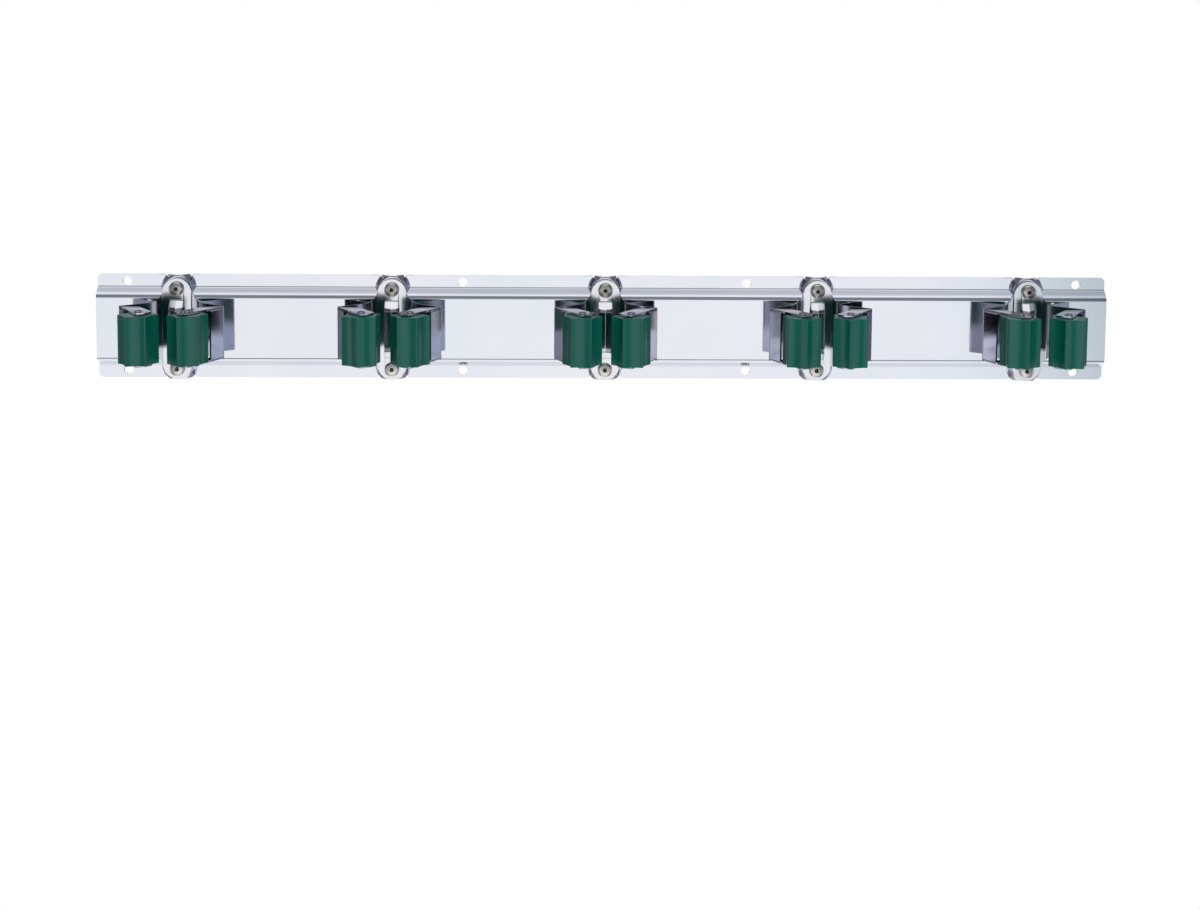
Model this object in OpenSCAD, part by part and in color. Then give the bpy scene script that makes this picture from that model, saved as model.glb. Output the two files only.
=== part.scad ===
// Wall rack for long-handled tools: a pressed steel rail with five spring clamps.
// Every clamp grips a handle between two fluted rubber rollers.
// +X runs along the rail to the right, +Z is up, the wall is the plane Y = 0 and the rack stands out to -Y.
// The origin is on the wall, at the middle of the rail. All sizes are in millimetres.

/* [Rail] */
// Length of the rail
rail_length = 660; // [640:1:760]
// Height of the rail from edge to edge
rail_height = 68; // [66:0.5:74]
// Thickness of the rail's sheet
rail_sheet = 1.5; // [1.2:0.1:2]
// Height of the flat flange along each edge
flange_height = 8.8; // [8:0.1:9.6]
// Height that the slope between flange and raised field takes up
step_rise = 4.4; // [3.5:0.1:5]
// How far the raised field stands in front of the flanges
step_depth = 5; // [4.5:0.1:7]
// Bend radius of the rail, along the middle of the sheet
rail_bend_r = 1.8; // [1.2:0.1:2.2]
// Radius of the flanges' outer corners
rail_corner_r = 3.3; // [1:0.1:5]

/* [Screw holes] */
// Diameter of the screw holes in the flanges
screw_hole_d = 6; // [4:0.1:6.6]
// Distance from the rail's edge to the middle of a screw hole
screw_edge_gap = 4.9; // [4.2:0.1:5.4]
// Distance from the rail's end to the outer screw holes
screw_end_gap = 19; // [10:0.5:24]
// Distance from the rail's middle to the inner screw holes
inner_screw_x = 93.1; // [80:0.1:110]

/* [Clamps] */
// Distance from one clamp to the next
clamp_pitch = 138.7; // [132:0.1:144]
// How far the clamps sit below the middle of the rail
clamp_drop = 0.7; // [0:0.1:1.5]
// Distance between a clamp's upper and lower rivet
rivet_spacing = 52.2; // [50:0.1:53]

/* [Rivets] */
// Diameter of the rivets' shank
rivet_d = 4.8; // [4:0.1:5.2]
// Diameter of the rivets' head
rivet_head_d = 9.5; // [8.5:0.1:10]
// Height of the rivets' head
rivet_head_h = 1.6; // [1.3:0.1:2.2]
// Diameter of the hole that the rivets' mandrel leaves
mandrel_hole_d = 3; // [2:0.1:3.4]
// Diameter of the rivets' swollen tail behind the sheet
rivet_tail_d = 7.4; // [6.4:0.1:8]
// Length of the rivets' tail behind the sheet
rivet_tail_h = 3.6; // [2:0.1:4.2]

/* [Bosses under the rivets] */
// Radius of the boss's flat top
boss_flat_r = 8.8; // [7.5:0.1:9.2]
// Radius of the boss where it meets the front of the flange
boss_foot_r = 10.6; // [10.4:0.1:11.5]
// Thickness of the boss's wall, measured along the radius
boss_wall = 1.3; // [1:0.1:1.8]
// Depth of the relief notches in the rail's edge beside a boss
notch_depth = 2.8; // [1:0.1:3]
// Width of a relief notch beside the boss
notch_width = 1.7; // [1:0.1:3]
// Radius of the flange's corner at a relief notch
notch_corner_r = 1.5; // [0.5:0.1:1.8]

/* [Spring] */
// Thickness of the spring sheet
spring_sheet = 1.2; // [0.8:0.1:1.4]
// Distance from the clamp's middle to the bend at each side
bend_x = 13.8; // [13:0.1:15]
// Radius of the fillet from the upright tab to the side leg
flare_r = 8.35; // [6:0.05:8.6]
// Height of the side arms
arm_height = 34.1; // [30:0.1:36]
// Distance from the clamp's middle to the arm's outer corner
corner_x = 33.1; // [31:0.1:36]
// Distance of the arm's outer corner in front of the field
corner_depth = 15.2; // [13:0.1:17]
// Distance from the clamp's middle to the front edge of the side panel
panel_front_x = 27.1; // [25.5:0.1:29]
// Distance of the side panel's front edge in front of the field
panel_front_depth = 26.7; // [24:0.1:29]
// Bend radius at the arm's outer corner, along the middle of the sheet
corner_bend_r = 1.6; // [0.8:0.1:2]
// Thickness of the leaves at the top and bottom of the side panel
leaf_sheet = 1.2; // [0.8:0.1:1.4]
// Radius of the leaf's rounded corners
leaf_corner_r = 1.2; // [0.6:0.1:2]

/* [Backing plate] */
// Width of the backing plate
plate_width = 19; // [17:0.2:20]
// Thickness of the backing plate
plate_sheet = 1.2; // [0.8:0.1:2]
// How far the backing plate's round ends reach past the rivets
plate_reach = 7; // [6.8:0.1:7.4]

/* [Stop strap] */
// Width of the stop strap
strap_width = 9; // [8:0.1:9.4]
// Thickness of the stop strap
strap_sheet = 1; // [0.6:0.1:1.2]
// How far the strap's middle stands in front of its riveted feet
strap_rise = 4; // [3:0.1:6]
// Distance from the rivet to the strap's first bend
strap_foot = 7.5; // [7:0.1:9.5]
// Height of the strap's slope
strap_slope = 5.7; // [3.5:0.1:7]
// Bend radius of the strap, along the middle of the sheet
strap_bend_r = 2; // [1.2:0.1:2.2]

/* [Rollers and pins] */
// Distance from the clamp's middle to each roller pin
pin_x = 15.3; // [15:0.1:16.5]
// Distance of the roller pins in front of the field
pin_depth = 37.2; // [36:0.1:39]
// Diameter of the roller pins
pin_d = 4; // [3:0.1:4.4]
// Diameter of the pin's head and of its riveted end
pin_head_d = 5.6; // [5.2:0.1:6.4]
// Height of the pin's head and of its riveted end
pin_head_h = 1.2; // [0.8:0.1:2]
// Radius of a roller over its ridges
roller_r = 12.5; // [10.5:0.1:12.7]
// Depth of the flutes below the straight line from ridge to ridge
flute_depth = 1.2; // [0.6:0.1:2]
// Half of the angle that a flute takes up
flute_half_angle = 28; // [25:0.5:29]

/* [Clearances] */
// Gap round a rivet's shank and round a pin in its leaves and its roller
shank_gap = 0.05; // [0.02:0.01:0.09]
// Gap between a roller's end and the leaf
roller_end_gap = 0.4; // [0.2:0.05:0.8]
// Gap between the arm's rolled root and the plate that it bends from
root_gap = 0.25; // [0.15:0.05:0.4]
// Gap between the arm's rolled root and the rail
root_lift = 0.35; // [0.3:0.05:0.5]

/* [Hidden] */
clamps = [1, 2, 3, 4, 5];
middle_clamp = 3;
ridge_count = 6;
bend_steps = 8;
cut = 1;
$fn = 72;

// Turn of each clamp's left and right roller, as they stand in the rack
roller_turns = [[-24.5, -16], [-5.5, 26], [25, -25.5], [4.5, -10], [9, -25.5]];

half_height = rail_height / 2;
field_back = step_depth;
field_front = step_depth + rail_sheet;
field_half = half_height - flange_height - step_rise;
step_half = half_height - flange_height;
rivet_half = rivet_spacing / 2;
arm_half = arm_height / 2;
roller_half = arm_half - leaf_sheet - roller_end_gap;
outer_screw_x = rail_length / 2 - screw_end_gap;
screw_z = half_height - screw_edge_gap;

// Depths of the layers under a rivet's head, in front of the field
spring_front = spring_sheet;
plate_front = spring_front + plate_sheet;
head_seat = plate_front + strap_sheet;
grip = head_seat + rail_sheet;

// Axis that an arm bends about, and the radius of its rolled root
root_r = spring_sheet / 2;
root_depth = root_r + root_lift;

// Unit vector from a to b
function unit(a, b) = (b - a) / norm(b - a);

// The vector turned a quarter turn to the left
function turned_left(v) = [-v[1], v[0]];

// A list in reverse order
function reversed(list) = [for (i = [len(list) - 1 : -1 : 0]) list[i]];

// Angle from direction u to direction v, positive to the left
function turn_angle(u, v) = atan2(u[0] * v[1] - u[1] * v[0], u * v);

// One face of a sheet at its bend at b, between a and c: off is the face's distance left of the centreline
function bend_points(a, b, c, r, off) =
    let (
        u = unit(a, b),
        v = unit(b, c),
        turn = turn_angle(u, v),
        side = sign(turn),
        centre = b - r * tan(abs(turn) / 2) * u + side * r * turned_left(u),
        spoke = -side * turned_left(u),
        start = atan2(spoke[1], spoke[0])
    )
    [for (i = [0 : bend_steps])
        let (angle = start + turn * i / bend_steps)
        centre + (r - side * off) * [cos(angle), sin(angle)]];

// One face of a sheet that follows a path
function face_points(path, r, off) =
    let (last = len(path) - 1)
    [for (i = [0 : last]) each
        i == 0 ? [path[0] + off * turned_left(unit(path[0], path[1]))] :
        i == last ? [path[last] + off * turned_left(unit(path[last - 1], path[last]))] :
        bend_points(path[i - 1], path[i], path[i + 1], r, off)];

// Section of a sheet that follows a path
function sheet_points(path, r, sheet) =
    concat(face_points(path, r, sheet / 2), reversed(face_points(path, r, -sheet / 2)));

// Round end of a sheet at the path's start, from its right face round to its left
function start_cap(path, sheet) =
    let (
        u = unit(path[0], path[1]),
        start = atan2(u[1], u[0]) - 90
    )
    [for (i = [1 : bend_steps - 1])
        let (angle = start - 180 * i / bend_steps)
        path[0] + sheet / 2 * [cos(angle), sin(angle)]];

// Outline of a polygon with its corners rounded
function rounded_points(points, r) =
    let (count = len(points))
    [for (i = [0 : count - 1]) each
        bend_points(points[(i + count - 1) % count], points[i], points[(i + 1) % count], r, 0)];

// Puts a clamp's piece in its place: the children stand on the field's front, about the clamp's middle
module at_clamp(n) {
    translate([(n - middle_clamp) * clamp_pitch, -field_front, -clamp_drop])
        children();
}

// Places the children at both rivets of a clamp
module at_rivets() {
    for (side = [-1, 1])
        translate([0, 0, side * rivet_half])
            children();
}

// Extrudes a section drawn in (height, depth) along X, about the middle
module along_x(length) {
    rotate([180, -90, 0])
        linear_extrude(height = length, center = true)
            children();
}

// Extrudes an outline drawn in (x, z) forward from the wall side, from depth start to depth end
module forward(start, end) {
    translate([0, -start, 0])
        rotate([90, 0, 0])
            linear_extrude(height = end - start)
                children();
}

// Extrudes a plan drawn in (x, depth) over the given heights
module upright(bottom, top) {
    translate([0, 0, bottom])
        linear_extrude(height = top - bottom)
            mirror([0, 1])
                children();
}

// Mirrors a right-hand piece for the left side
module on_side(side) {
    mirror([side < 0 ? 1 : 0, 0, 0])
        children();
}

// Upright slot: a strip with semicircular ends
module slot_outline(width, half_length) {
    square([width, 2 * half_length - width], center = true);
    for (side = [-1, 1])
        translate([0, side * (half_length - width / 2)])
            circle(d = width);
}

// Middle of the rail's sheet in (height, depth), from the bottom edge up
rail_path = [
    [-half_height, rail_sheet / 2],
    [-step_half, rail_sheet / 2],
    [-field_half, field_front - rail_sheet / 2],
    [field_half, field_front - rail_sheet / 2],
    [step_half, rail_sheet / 2],
    [half_height, rail_sheet / 2]
];

// The rail's section filled back to the wall
module rail_section() {
    polygon(concat(
        face_points(rail_path, rail_bend_r, rail_sheet / 2),
        [[half_height, 0], [-half_height, 0]]
    ));
}

// The hollow behind the raised field
module rail_hollow() {
    back = face_points(rail_path, rail_bend_r, -rail_sheet / 2);
    hollow = [for (i = [1 : len(back) - 2]) back[i]];
    polygon(concat(
        hollow,
        [[hollow[len(hollow) - 1][0], -cut], [hollow[0][0], -cut]]
    ));
}

// Outline of the rail with rounded corners
module rail_outline() {
    square([rail_length - 2 * rail_corner_r, rail_height], center = true);
    square([rail_length, rail_height - 2 * rail_corner_r], center = true);
    for (x = [-1, 1], z = [-1, 1])
        translate([x * (rail_length / 2 - rail_corner_r), z * (half_height - rail_corner_r)])
            circle(r = rail_corner_r);
}

// Relief notch in the rail's edge round a boss: gap is the distance from the rivet to the edge
module notch_outline(gap) {
    half = sqrt(boss_foot_r * boss_foot_r - gap * gap) + notch_width;
    translate([-half, gap - notch_depth])
        square([2 * half, notch_depth + cut]);
    for (side = [-1, 1])
        translate([side * (half + notch_corner_r), gap - notch_corner_r])
            difference() {
                translate([-notch_corner_r, 0])
                    square([2 * notch_corner_r, notch_corner_r + cut]);
                circle(r = notch_corner_r);
                translate([side > 0 ? 0 : -notch_corner_r - cut, 0])
                    square([notch_corner_r + cut, notch_corner_r + 2 * cut]);
            }
}

// Places the children at every rivet of the rail, with the edge that is nearest to it upward
module at_all_rivets() {
    for (n = clamps)
        translate([(n - middle_clamp) * clamp_pitch, 0, -clamp_drop])
            for (side = [-1, 1])
                translate([0, 0, side * rivet_half])
                    children();
}

// A boss's outside, filled back to the wall
module boss_block() {
    slope = (boss_foot_r - boss_flat_r) / step_depth;
    rotate([90, 0, 0])
        cylinder(h = field_front, r1 = boss_foot_r + slope * rail_sheet, r2 = boss_flat_r);
}

// The hollow behind a boss
module boss_hollow() {
    slope = (boss_foot_r - boss_flat_r) / step_depth;
    back_r = boss_foot_r + slope * rail_sheet - boss_wall;
    translate([0, cut, 0])
        rotate([90, 0, 0])
            cylinder(h = field_back + cut, r1 = back_r + slope * cut, r2 = back_r - slope * field_back);
}

module wall_rail() {
    color("#d9dde2")
    difference() {
        union() {
            intersection() {
                difference() {
                    along_x(rail_length)
                        rail_section();
                    for (n = clamps, side = [-1, 1])
                        translate([(n - middle_clamp) * clamp_pitch, 0, side * rivet_half - clamp_drop])
                            rotate([0, side > 0 ? 0 : 180, 0])
                                forward(-cut, field_front + cut)
                                    notch_outline(half_height - rivet_half + side * clamp_drop);
                }
                forward(-cut, field_front + cut)
                    rail_outline();
            }
            intersection() {
                at_all_rivets()
                    boss_block();
                translate([-rail_length / 2, -field_front - cut, -half_height])
                    cube([rail_length, field_front + 2 * cut, rail_height]);
            }
        }
        along_x(rail_length + 2 * cut)
            rail_hollow();
        at_all_rivets()
            boss_hollow();
        at_all_rivets()
            rotate([90, 0, 0])
                cylinder(h = field_front + cut, r = rivet_d / 2 + shank_gap);
        for (x = [-outer_screw_x, -inner_screw_x, inner_screw_x, outer_screw_x], z = [-screw_z, screw_z])
            translate([x, cut, z])
                rotate([90, 0, 0])
                    cylinder(h = rail_sheet + 2 * cut, d = screw_hole_d);
    }
}

// One blind rivet, turned about its axis: the head sits on the strap and the tail swells behind the sheet
module blind_rivet() {
    head_r = rivet_head_d / 2;
    hole_r = mandrel_hole_d / 2;
    ring_r = hole_r + 0.8;
    crown = 0.25;
    rotate([90, 0, 0])
        rotate_extrude()
            polygon(concat(
                [[0, rivet_head_h * 0.35], [hole_r, rivet_head_h * 0.35], [hole_r, rivet_head_h], [ring_r, rivet_head_h]],
                [for (i = [1 : bend_steps])
                    let (angle = 90 * i / bend_steps)
                    [ring_r + (head_r - ring_r) * sin(angle), crown + (rivet_head_h - crown) * cos(angle)]],
                [
                    [head_r, 0],
                    [rivet_d / 2, 0],
                    [rivet_d / 2, -grip],
                    [rivet_tail_d / 2, -grip - 0.4],
                    [rivet_tail_d / 2, -grip - rivet_tail_h + 0.8],
                    [rivet_d / 2, -grip - rivet_tail_h],
                    [0, -grip - rivet_tail_h]
                ]
            ));
}

module blind_rivets() {
    color("#cfcdc8")
    for (n = clamps)
        at_clamp(n)
            translate([0, -head_seat, 0])
                at_rivets()
                    blind_rivet();
}

// Centres of the tab's round end and of the fillet beside it, and the angle from one to the other
tab_centre = [0, rivet_half + plate_reach - plate_width / 2];
fillet_centre = [plate_width / 2 + flare_r, arm_half + flare_r];
tab_meet = atan2(fillet_centre[1] - tab_centre[1], fillet_centre[0] - tab_centre[0]);

// Upper right quarter of the spring sheet's outline: round tab, fillet and side leg
spring_quarter = concat(
    [for (i = [0 : bend_steps])
        let (angle = 90 - (90 - tab_meet) * i / bend_steps)
        tab_centre + plate_width / 2 * [cos(angle), sin(angle)]],
    [for (i = [0 : bend_steps])
        let (angle = 180 + tab_meet + (90 - tab_meet) * i / bend_steps)
        fillet_centre + flare_r * [cos(angle), sin(angle)]],
    [[corner_x + 2 * spring_sheet, arm_half]]
);

// Right half of the spring sheet's outline, from the top down
spring_right = concat(spring_quarter, [for (p = reversed(spring_quarter)) [p[0], -p[1]]]);

// Outline of the whole spring sheet seen from the front
module spring_outline() {
    polygon(concat(
        spring_right,
        [for (i = [len(spring_right) - 2 : -1 : 1]) [-spring_right[i][0], spring_right[i][1]]]
    ));
}

module spring_root(n) {
    color("#8d979d")
    at_clamp(n)
        difference() {
            intersection() {
                forward(0, spring_front)
                    spring_outline();
                translate([-bend_x + root_r + root_gap, -spring_front, -rail_height])
                    cube([2 * (bend_x - root_r - root_gap), spring_front, 2 * rail_height]);
            }
            at_rivets()
                rotate([90, 0, 0])
                    cylinder(h = 2 * spring_front, r = rivet_d / 2 + shank_gap, center = true);
        }
}

// Middle of an arm's sheet in (x, depth), from the rolled root to the panel's front edge
arm_path = [[bend_x, root_depth], [corner_x, corner_depth], [panel_front_x, panel_front_depth]];

// Leaf in (x, depth): from the side panel inward past the pin
leaf_points = [
    [corner_x + 0.3, corner_depth + 0.1],
    [corner_x - 13.9, corner_depth + 3.4],
    [pin_x - 8.6, pin_depth - 0.7],
    [pin_x - 5.3, pin_depth + 3.8],
    [pin_x + 0.7, pin_depth + 5.8],
    [panel_front_x - 2.2, panel_front_depth + 5]
];

module arm(side) {
    color("#9aa3ab")
    on_side(side) {
        intersection() {
            upright(-rail_height, rail_height)
                polygon(concat(
                    sheet_points(arm_path, corner_bend_r, spring_sheet),
                    start_cap(arm_path, spring_sheet)
                ));
            forward(-cut, 2 * pin_depth)
                spring_outline();
        }
        for (z = [-arm_half, arm_half - leaf_sheet])
            upright(z, z + leaf_sheet)
                difference() {
                    polygon(rounded_points(leaf_points, leaf_corner_r));
                    translate([pin_x, pin_depth])
                        circle(r = pin_d / 2 + shank_gap);
                }
    }
}

module backing_plate(n) {
    color("#dfe3e6")
    at_clamp(n)
        difference() {
            forward(spring_front, plate_front)
                slot_outline(plate_width, rivet_half + plate_reach);
            at_rivets()
                rotate([90, 0, 0])
                    cylinder(h = 4 * plate_front, r = rivet_d / 2 + shank_gap, center = true);
        }
}

// Middle of the strap's sheet in (height, depth), from its upper end down
foot_depth = plate_front + strap_sheet / 2;
strap_path = [
    [rivet_half + strap_width / 2, foot_depth],
    [rivet_half - strap_foot, foot_depth],
    [rivet_half - strap_foot - strap_slope, foot_depth + strap_rise],
    [-rivet_half + strap_foot + strap_slope, foot_depth + strap_rise],
    [-rivet_half + strap_foot, foot_depth],
    [-rivet_half - strap_width / 2, foot_depth]
];

module stop_strap(n) {
    color("#c9cfd3")
    at_clamp(n)
        difference() {
            intersection() {
                along_x(strap_width)
                    polygon(sheet_points(strap_path, strap_bend_r, strap_sheet));
                forward(0, foot_depth + strap_rise + strap_sheet)
                    slot_outline(strap_width, rivet_half + strap_width / 2);
            }
            at_rivets()
                rotate([90, 0, 0])
                    cylinder(h = 2 * head_seat + cut, r = rivet_d / 2 + shank_gap, center = true);
        }
}

// Section of a roller: a round bar with a shallow flute between every two ridges
module roller_section() {
    chord_half = roller_r * sin(flute_half_angle);
    chord_distance = roller_r * cos(flute_half_angle);
    flute_r = (chord_half * chord_half + flute_depth * flute_depth) / (2 * flute_depth);
    difference() {
        circle(r = roller_r);
        for (i = [0 : ridge_count - 1])
            rotate((i + 0.5) * 360 / ridge_count)
                translate([0, -(chord_distance - flute_depth + flute_r)])
                    circle(r = flute_r);
        circle(r = pin_d / 2 + shank_gap);
    }
}

module roller(side, turn) {
    color("#0f5f4a")
    translate([side * pin_x, -pin_depth, -roller_half])
        rotate(turn)
            linear_extrude(height = 2 * roller_half)
                roller_section();
}

// One roller pin: a domed head above, a riveted end below
module pin(side) {
    color("#c4c8cc")
    translate([side * pin_x, -pin_depth, 0])
        rotate_extrude()
            polygon(concat(
                [for (i = [0 : bend_steps])
                    let (angle = 90 * i / bend_steps)
                    [pin_head_d / 2 * sin(angle), arm_half + pin_head_h * cos(angle)]],
                [[pin_d / 2, arm_half], [pin_d / 2, -arm_half]],
                [for (i = [0 : bend_steps])
                    let (angle = 90 + 90 * i / bend_steps)
                    [pin_head_d / 2 * sin(angle), -arm_half + pin_head_h * cos(angle)]]
            ));
}

wall_rail();
blind_rivets();
for (n = clamps) {
    spring_root(n);
    at_clamp(n) arm(-1);
    at_clamp(n) arm(1);
    backing_plate(n);
    stop_strap(n);
    at_clamp(n) roller(-1, roller_turns[n - 1][0]);
    at_clamp(n) roller(1, roller_turns[n - 1][1]);
    at_clamp(n) pin(-1);
    at_clamp(n) pin(1);
}
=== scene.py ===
import math

import bmesh
import bpy
import numpy as np
from mathutils import Matrix, Vector


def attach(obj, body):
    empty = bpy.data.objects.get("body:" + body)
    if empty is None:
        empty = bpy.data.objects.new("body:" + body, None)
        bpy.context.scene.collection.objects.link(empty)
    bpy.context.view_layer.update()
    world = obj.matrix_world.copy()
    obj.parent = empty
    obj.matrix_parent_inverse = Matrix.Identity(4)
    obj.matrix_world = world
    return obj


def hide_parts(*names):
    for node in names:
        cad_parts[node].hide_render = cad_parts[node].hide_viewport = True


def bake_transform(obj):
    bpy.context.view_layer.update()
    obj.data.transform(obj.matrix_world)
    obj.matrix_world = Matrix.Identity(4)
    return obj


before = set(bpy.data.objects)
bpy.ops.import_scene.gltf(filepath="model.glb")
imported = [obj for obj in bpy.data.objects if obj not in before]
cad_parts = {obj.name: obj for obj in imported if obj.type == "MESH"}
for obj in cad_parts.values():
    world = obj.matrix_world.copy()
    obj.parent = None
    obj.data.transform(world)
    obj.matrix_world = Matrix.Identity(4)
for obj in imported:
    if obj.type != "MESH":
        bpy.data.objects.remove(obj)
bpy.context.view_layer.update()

# One millimetre in metres
MM = 0.001

# Rail; its bend radii are listed from the lower edge up
RAIL_LENGTH = 660.0
RAIL_HALF = 34.0
RAIL_SHEET = 1.5
FLANGE = 8.8
STEP_RISE = 4.4
STEP_DEPTH = 5.0
RAIL_BENDS = (0, 1.8, 4.6, 4.6, 1.8, 0)
FIELD = STEP_DEPTH + RAIL_SHEET
SCREW_D = 6.0
SCREW_Z = RAIL_HALF - 4.9
SCREW_X = (-311.0, -93.1, 93.1, 311.0)
CORNER_R = 3.3
RAIL_EDGE_R = 0.18
FINE = 0.36

# Bosses and the notches beside them
BOSS_FLAT = 8.8
BOSS_FOOT = 10.6
BOSS_WALL = 1.3
BOSS_RIM_FRONT = 1.1
BOSS_RIM_BACK = 0.4
BOSS_FILLET = 1.4
BOSS_KEEP = 0.25
NOTCH_SIDE = 1.7
NOTCH_DEPTH = 2.8
NOTCH_CORNER = 1.5

# The rail's cutting tools reach from in front of it to behind it
CUT_FRONT = -9
CUT_BACK = 1
CUT_LENGTH = 14
CUT_MIDDLE = (CUT_FRONT + CUT_BACK) / 2

# Clamps
PITCH = 138.7
DROP = 0.7
CLAMPS = (1, 2, 3, 4, 5)
RIVET_Z = 26.1
SPRING_SHEET = 1.2
PLATE_SHEET = 1.2
STRAP_SHEET = 1.0
PLATE_FRONT = SPRING_SHEET + PLATE_SHEET
HEAD_SEAT = PLATE_FRONT + STRAP_SHEET
TAB_R = 9.5
TAB_END = RIVET_Z + 7.0
FLARE_R = 8.35
ARM_HALF = 17.05
BEND_X = 13.8
BEND_D = 0.95
CORNER = (33.1, 15.2)
PANEL_FRONT = (27.1, 26.7)
PIN_X = 15.3
PIN_D = 37.2
PIN_R = 2.0
ROLLER_R = 12.5
ROLLER_HALF = 15.45
FLUTE_DEPTH = 1.2
FLUTE_HALF_ANGLE = 28.0
FLUTE_SHARE = 0.92
ROLLER_EDGE_R = 0.4
PLATE_EDGE_R = 0.3
BORE_PLAY = 0.05

# Turn of each clamp's left and right roller about its pin, in degrees
TURNS = ((-24.5, -16), (-5.5, 26), (25, -25.5), (4.5, -10), (9, -25.5))

# Bend radii of the spring
ROOT_BEND_R = 2.0
CORNER_BEND_R = 1.7
LIP_BEND_R = 1.25

# Leaf of the spring: its corners on the flat blank, from the slit at the corner bend to the panel's front
LEAF = ((9.4, 10.7), (31.1, 13.5), (33.6, 8.5), (32.3, 2.6), (19.0, 1.6))
LEAF_FOOT = 1.3
LEAF_CORNER_R = 1.6
SLIT_START = 0.08
SLIT_WIDTH = 0.12

# Stop strap
STRAP_HALF = 4.5
STRAP_RISE = 4.0
STRAP_SLOPE = 5.7
STRAP_FOOT = 7.5
STRAP_NEAR_R = 5.5
STRAP_FAR_R = 2.0
RIDGE_FALL = 0.24
RIDGE_R = 0.1
STRAP_CREASES = (-3.0, -1.5, -0.5, -0.2, -0.08, 0, 0.08, 0.2, 0.5, 1.5, 3.0)

# Rivets, the stubs in their holes, and the rollers' pins
RIVET_HEAD_R = 4.75
RIVET_HOLE_R = 1.45
RIVET_RING_R = 2.55
RIVET_RISE = 1.6
RIVET_SHANK_R = 2.4
STUB_R = 1.38
STUB_LENGTH = 1.7
STUB_AT = 0.55
STUB_EDGE_R = 0.3
PIN_HEAD_R = 2.7
PIN_HEAD_RISE = 1.2
PIN_RIM = 0.25

# The photo's width, its focal length and how far the view is shifted, in its pixels
PHOTO_WIDTH = 1200
FOCAL = 1512.7
VIEW_SHIFT = 455 - 170
FILM = 36

# Where the camera stands, in millimetres, and how it is turned, in degrees
CAMERA_PLACE = (-28.19, -983.87, 180.49)
CAMERA_TURN = (85.5193, -0.4570, -1.3737)

# Light from all sides, the half-width of the change from the room in front to the one behind, and the floor
ROOM_LIGHT = 0.32
TURN_BACK = 0.12
FLOOR_SIZE = 24
FLOOR_Z = -1.4

# Rounding of the springs' and straps' edges, and how near a fold line a point still lies on it
EDGE_R = 0.22
ON_LINE = 0.001

# With no window open the rotate operator turns the other way
TURN_SIGN = -1


def clamp_x(n):
    return (n - 3) * PITCH


# Modelling helpers
def only(piece):
    """Leaves object mode with this piece alone selected and active."""
    if bpy.context.object and bpy.context.object.mode != "OBJECT":
        bpy.ops.object.mode_set(mode="OBJECT")
    bpy.ops.object.select_all(action="DESELECT")
    piece.select_set(True)
    bpy.context.view_layer.objects.active = piece


def shape(piece):
    """Opens the piece in edit mode."""
    only(piece)
    bpy.ops.object.mode_set(mode="EDIT")


def done(piece):
    """Back to object mode, with the piece's place in its mesh."""
    bpy.ops.object.mode_set(mode="OBJECT")
    only(piece)
    bpy.ops.object.transform_apply(location=True, rotation=True, scale=True)
    return piece


def middle(item):
    """Middle of a vertex, edge or face, in millimetres."""
    if isinstance(item, bmesh.types.BMVert):
        return item.co / MM
    return sum((v.co for v in item.verts), Vector()) / len(item.verts) / MM


def pick(kind, test):
    """Selects the vertices, edges or faces of the open mesh that pass the test."""
    mesh = bpy.context.object.data
    bpy.ops.mesh.select_mode(type=kind)
    bpy.ops.mesh.select_all(action="DESELECT")
    bm = bmesh.from_edit_mesh(mesh)
    items = {"VERT": bm.verts, "EDGE": bm.edges, "FACE": bm.faces}[kind]
    for item in items:
        if test(item):
            item.select_set(True)
    bm.select_flush_mode()
    bmesh.update_edit_mesh(mesh)


def slide(x=0.0, y=0.0, z=0.0):
    bpy.ops.transform.translate(value=(x * MM, y * MM, z * MM))


def modifier(piece, kind, **settings):
    """Adds a modifier with its settings and applies it."""
    only(piece)
    mod = piece.modifiers.new(kind.title(), kind)
    for name, value in settings.items():
        setattr(mod, name, value)
    bpy.ops.object.modifier_apply(modifier=mod.name)


def rounded(piece, width, segments=2, angle=35):
    """Rounds the sharp edges of a piece and keeps its flats flat."""
    modifier(piece, "BEVEL", width=width * MM, segments=segments, limit_method="ANGLE",
             angle_limit=math.radians(angle), harden_normals=False, use_clamp_overlap=True)


def smooth(piece, angle=35):
    only(piece)
    bpy.ops.object.shade_smooth_by_angle(angle=math.radians(angle))


def cut_with(piece, tool, operation="DIFFERENCE"):
    """Cuts the piece with a tool and throws the tool away."""
    modifier(piece, "BOOLEAN", object=tool, operation=operation, solver="EXACT")
    bpy.data.objects.remove(tool)


def bar(name, x, y, z, radius, length, axis="Y", sides=48):
    """A round bar centred at a point."""
    turn = {"X": (0, math.pi / 2, 0), "Y": (math.pi / 2, 0, 0), "Z": (0, 0, 0)}[axis]
    bpy.ops.mesh.primitive_cylinder_add(vertices=sides, radius=radius * MM, depth=length * MM,
                                        location=(x * MM, y * MM, z * MM), rotation=turn)
    piece = bpy.context.object
    piece.name = name
    return done(piece)


def block(name, low, high):
    """A box between two corners."""
    mid = [(a + b) / 2 * MM for a, b in zip(low, high)]
    bpy.ops.mesh.primitive_cube_add(size=1, location=mid)
    piece = bpy.context.object
    piece.name = name
    piece.scale = [(b - a) * MM for a, b in zip(low, high)]
    return done(piece)


def joined(pieces):
    """One object made of several."""
    only(pieces[0])
    for piece in pieces:
        piece.select_set(True)
    bpy.ops.object.join()
    return bpy.context.object


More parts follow.
